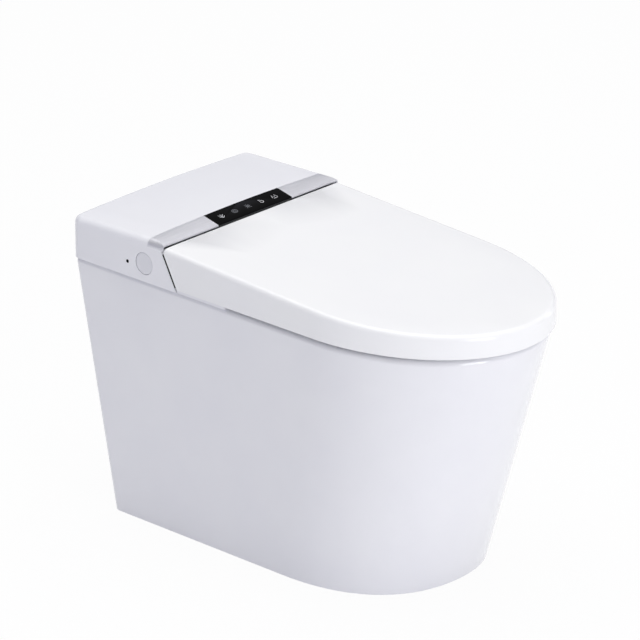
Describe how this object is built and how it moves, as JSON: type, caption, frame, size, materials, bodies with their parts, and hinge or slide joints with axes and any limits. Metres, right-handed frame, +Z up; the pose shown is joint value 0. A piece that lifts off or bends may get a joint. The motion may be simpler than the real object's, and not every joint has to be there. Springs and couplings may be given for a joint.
{
  "type": "smart toilet",
  "caption": "One-piece floor-standing toilet with a heated seat, wash nozzles and warm-air dryer in a rear unit under a flat lid",
  "frame": {"origin": "on the floor, under the middle of the whole object's box", "axes": "+Z up, -Y towards the user's knees, +Y towards the wall behind, +X to the left hand of a person who stands in front and looks at it"},
  "size_m": [0.378, 0.736, 0.474],
  "materials": {
    "ceramic_glaze": "gloss vitreous china glaze",
    "white_plastic": "gloss moulded",
    "silver_trim": "fine satin anodised",
    "black_panel": "gloss smoked",
    "grey_plastic": "fine texture",
    "dark_plastic": "fine texture",
    "steel": "turned",
    "brass_fitting": "machined",
    "copper_film": "foil",
    "rubber": "soft moulded",
    "circuit_board": "solder mask",
    "tank_plastic": "blow moulded"
  },
  "bodies": {
    "root": {"ceramic_base": "ceramic_glaze", "rear_cover": "white_plastic", "trim_strip": "silver_trim", "display_window": "black_panel", "chassis_base": "grey_plastic", "seat_hinge_damper": "steel", "lid_hinge_damper": "steel", "chassis_bolts": "steel", "cover_screws": "steel", "nozzle_tray": "grey_plastic", "rear_nozzle_motor": "steel", "front_nozzle_motor": "steel", "dryer_duct": "grey_plastic", "blower_case": "grey_plastic", "dryer_motor": "steel", "knob_encoder": "dark_plastic", "sensor_lens": "black_panel", "sensor_board": "circuit_board", "water_inlet": "brass_fitting", "power_gland": "dark_plastic", "ceramic_deck": "ceramic_glaze", "ceramic_bowl": "ceramic_glaze", "ceramic_trapway": "ceramic_glaze", "ceramic_outlet": "ceramic_glaze", "ceramic_shelf": "ceramic_glaze", "control_box": "grey_plastic", "main_board": "circuit_board", "display_board": "circuit_board", "dryer_heater": "steel", "nozzle_fairing": "white_plastic", "deodoriser_case": "grey_plastic", "carbon_filter": "dark_plastic", "inlet_valve": "dark_plastic", "fill_hose": "rubber", "water_heater": "grey_plastic", "distribution_valve": "white_plastic", "flush_tank": "tank_plastic", "flush_pump": "dark_plastic", "flush_hose": "rubber", "floor_gasket": "rubber"},
    "seat": {"seat_top": "white_plastic", "seat_bottom": "white_plastic", "heating_film": "copper_film", "seat_bumpers": "rubber"},
    "lid": {"lid_shell": "white_plastic", "lid_liner": "white_plastic", "lid_bumpers": "rubber"},
    "rear_nozzle": {"rear_nozzle_tube": "steel", "rear_nozzle_tip": "white_plastic", "rear_nozzle_rack": "grey_plastic"},
    "front_nozzle": {"front_nozzle_tube": "steel", "front_nozzle_tip": "white_plastic", "front_nozzle_rack": "grey_plastic"},
    "rear_pinion": {"rear_drive_pinion": "grey_plastic"},
    "front_pinion": {"front_drive_pinion": "grey_plastic"},
    "fan": {"dryer_fan": "dark_plastic"},
    "flap": {"dryer_flap": "white_plastic"},
    "filter_fan": {"deodoriser_fan": "dark_plastic"},
    "plunger": {"knob_stem": "grey_plastic"},
    "knob": {"control_knob": "white_plastic"}
  },
  "joints": [
    {"name": "seat_hinge", "type": "hinge", "parent": "root", "child": "seat", "pos_m": [0, 0.1672, 0.4585], "axis": [-1, 0, 0], "range_deg": [0, 92]},
    {"name": "lid_hinge", "type": "hinge", "parent": "seat", "child": "lid", "pos_m": [0, 0.1672, 0.4585], "axis": [1, 0, 0], "range_deg": [-92, 0]},
    {"name": "rear_nozzle_slide", "type": "slide", "parent": "root", "child": "rear_nozzle", "axis": [0, -0.9744, -0.225], "range_m": [0, 0.11]},
    {"name": "front_nozzle_slide", "type": "slide", "parent": "root", "child": "front_nozzle", "axis": [0, -0.9744, -0.225], "range_m": [0, 0.11]},
    {"name": "rear_pinion_turn", "type": "hinge", "parent": "root", "child": "rear_pinion", "pos_m": [0.013, 0.20022, 0.44015], "axis": [-1, 0, 0], "range_deg": [0, 901]},
    {"name": "front_pinion_turn", "type": "hinge", "parent": "root", "child": "front_pinion", "pos_m": [-0.013, 0.20022, 0.44015], "axis": [-1, 0, 0], "range_deg": [0, 901]},
    {"name": "dryer_fan_spin", "type": "hinge", "parent": "root", "child": "fan", "pos_m": [0.092, 0.276, 0.419], "axis": [0, 0, 1], "continuous": true},
    {"name": "filter_fan_spin", "type": "hinge", "parent": "root", "child": "filter_fan", "pos_m": [-0.125, 0.243, 0.4166], "axis": [0, 0, 1], "continuous": true},
    {"name": "dryer_flap_hinge", "type": "hinge", "parent": "root", "child": "flap", "pos_m": [0.074, 0.1097, 0.4255], "axis": [-1, 0, 0], "range_deg": [0, 70], "stiffness_Nm_per_rad": 0.002},
    {"name": "knob_press", "type": "slide", "parent": "root", "child": "plunger", "axis": [1, 0, 0], "range_m": [0, 0.0015], "stiffness_N_per_m": 300},
    {"name": "knob_turn", "type": "hinge", "parent": "plunger", "child": "knob", "pos_m": [-0.1845, 0.215, 0.43], "axis": [1, 0, 0], "range_deg": [-30, 30], "stiffness_Nm_per_rad": 0.01}
  ],
  "couplings": [
    {"joint": "rear_pinion_turn", "follows": "rear_nozzle_slide", "rad_per_m": 142.86},
    {"joint": "front_pinion_turn", "follows": "front_nozzle_slide", "rad_per_m": 142.86}
  ]
}
